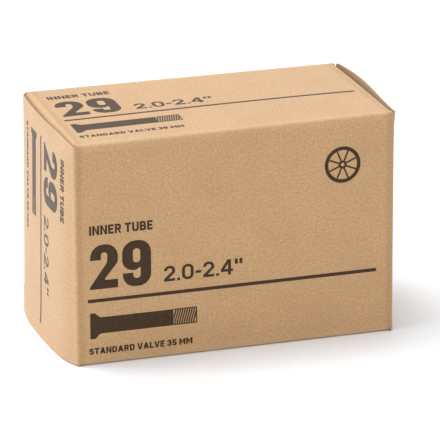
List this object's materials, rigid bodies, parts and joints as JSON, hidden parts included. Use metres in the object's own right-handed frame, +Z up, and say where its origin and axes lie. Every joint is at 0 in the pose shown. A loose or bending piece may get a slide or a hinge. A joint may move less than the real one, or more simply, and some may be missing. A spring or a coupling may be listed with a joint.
{
  "type": "boxed bicycle inner tube",
  "caption": "Kraft tuck-end carton holding a rolled butyl bicycle tube with a rubber-covered valve; both ends swing open and the valve cap unscrews.",
  "frame": {"origin": "centre of the carton's bounding box at the floor, under the bottom panel", "axes": "+X along the carton's long side towards its right end, +Y from the front panel to the back panel, +Z up; the front panel faces -Y"},
  "size_m": [0.1312, 0.07, 0.088],
  "materials": {
    "kraft_board": "matte, rough fibre",
    "butyl_rubber": "matte with talc",
    "band_rubber": "satin",
    "nickel_brass": "nickel plated, satin",
    "bare_brass": "turned",
    "core_plastic": "matte",
    "spring_steel": "drawn wire",
    "cap_plastic": "moulded, satin"
  },
  "bodies": {
    "sleeve": {"front_panel": "kraft_board", "top_panel": "kraft_board", "back_panel": "kraft_board", "bottom_panel": "kraft_board", "glue_flap": "kraft_board"},
    "left_closure": {"left_closure_panel": "kraft_board"},
    "left_tuck": {"left_tuck_flap": "kraft_board"},
    "left_dust_top": {"left_dust_flap_top": "kraft_board"},
    "left_dust_bottom": {"left_dust_flap_bottom": "kraft_board"},
    "right_closure": {"right_closure_panel": "kraft_board"},
    "right_tuck": {"right_tuck_flap": "kraft_board"},
    "right_dust_top": {"right_dust_flap_top": "kraft_board"},
    "right_dust_bottom": {"right_dust_flap_bottom": "kraft_board"},
    "rolled_tube": {"butyl_tube": "butyl_rubber", "rubber_band": "band_rubber", "valve_patch": "butyl_rubber", "valve_stem_rubber": "butyl_rubber", "valve_stem_brass": "nickel_brass", "core_barrel": "bare_brass", "core_seal": "core_plastic", "core_spring": "spring_steel"},
    "valve_pin": {"core_pin": "bare_brass", "core_gasket": "core_plastic"},
    "cap_travel": {"cap_washer": "core_plastic"},
    "cap": {"valve_cap": "cap_plastic"}
  },
  "joints": [
    {"name": "left_closure_hinge", "type": "hinge", "parent": "sleeve", "child": "left_closure", "pos_m": [-0.0632, -0.0347, 0.044], "axis": [0, 0, 1], "range_deg": [0, 170]},
    {"name": "left_tuck_hinge", "type": "hinge", "parent": "left_closure", "child": "left_tuck", "pos_m": [-0.0652, 0.03365, 0.044], "axis": [0, 0, 1], "range_deg": [0, 42.5]},
    {"name": "left_dust_top_hinge", "type": "hinge", "parent": "sleeve", "child": "left_dust_top", "pos_m": [-0.0623, 0, 0.0877], "axis": [0, 1, 0], "range_deg": [0, 85]},
    {"name": "left_dust_bottom_hinge", "type": "hinge", "parent": "sleeve", "child": "left_dust_bottom", "pos_m": [-0.0623, 0, 0.0003], "axis": [0, -1, 0], "range_deg": [0, 85]},
    {"name": "right_closure_hinge", "type": "hinge", "parent": "sleeve", "child": "right_closure", "pos_m": [0.0632, -0.0347, 0.044], "axis": [0, 0, -1], "range_deg": [0, 170]},
    {"name": "right_tuck_hinge", "type": "hinge", "parent": "right_closure", "child": "right_tuck", "pos_m": [0.0652, 0.03365, 0.044], "axis": [0, 0, -1], "range_deg": [0, 42.5]},
    {"name": "right_dust_top_hinge", "type": "hinge", "parent": "sleeve", "child": "right_dust_top", "pos_m": [0.0623, 0, 0.0877], "axis": [0, -1, 0], "range_deg": [0, 85]},
    {"name": "right_dust_bottom_hinge", "type": "hinge", "parent": "sleeve", "child": "right_dust_bottom", "pos_m": [0.0623, 0, 0.0003], "axis": [0, 1, 0], "range_deg": [0, 85]},
    {"name": "tube_shift", "type": "slide", "parent": "sleeve", "child": "rolled_tube", "axis": [1, 0, 0], "range_m": [-0.003, 0.003]},
    {"name": "valve_pin_press", "type": "slide", "parent": "rolled_tube", "child": "valve_pin", "axis": [1, 0, 0], "range_m": [0, 0.0012], "stiffness_N_per_m": 400, "springref_m": -0.003, "deforming": ["core_spring"]},
    {"name": "cap_lift", "type": "slide", "parent": "rolled_tube", "child": "cap_travel", "axis": [-1, 0, 0], "range_m": [0, 0.00357]},
    {"name": "cap_turn", "type": "hinge", "parent": "cap_travel", "child": "cap", "pos_m": [-0.03, 0, 0.0749], "axis": [-1, 0, 0], "range_deg": [0, 1620]}
  ],
  "couplings": [
    {"joint": "left_tuck_hinge", "follows": "left_closure_hinge", "ratio": 0.25},
    {"joint": "left_dust_top_hinge", "follows": "left_closure_hinge", "ratio": 0.5},
    {"joint": "left_dust_bottom_hinge", "follows": "left_closure_hinge", "ratio": 0.5},
    {"joint": "right_tuck_hinge", "follows": "right_closure_hinge", "ratio": 0.25},
    {"joint": "right_dust_top_hinge", "follows": "right_closure_hinge", "ratio": 0.5},
    {"joint": "right_dust_bottom_hinge", "follows": "right_closure_hinge", "ratio": 0.5},
    {"joint": "cap_turn", "follows": "cap_lift", "rad_per_m": 7913.3}
  ]
}
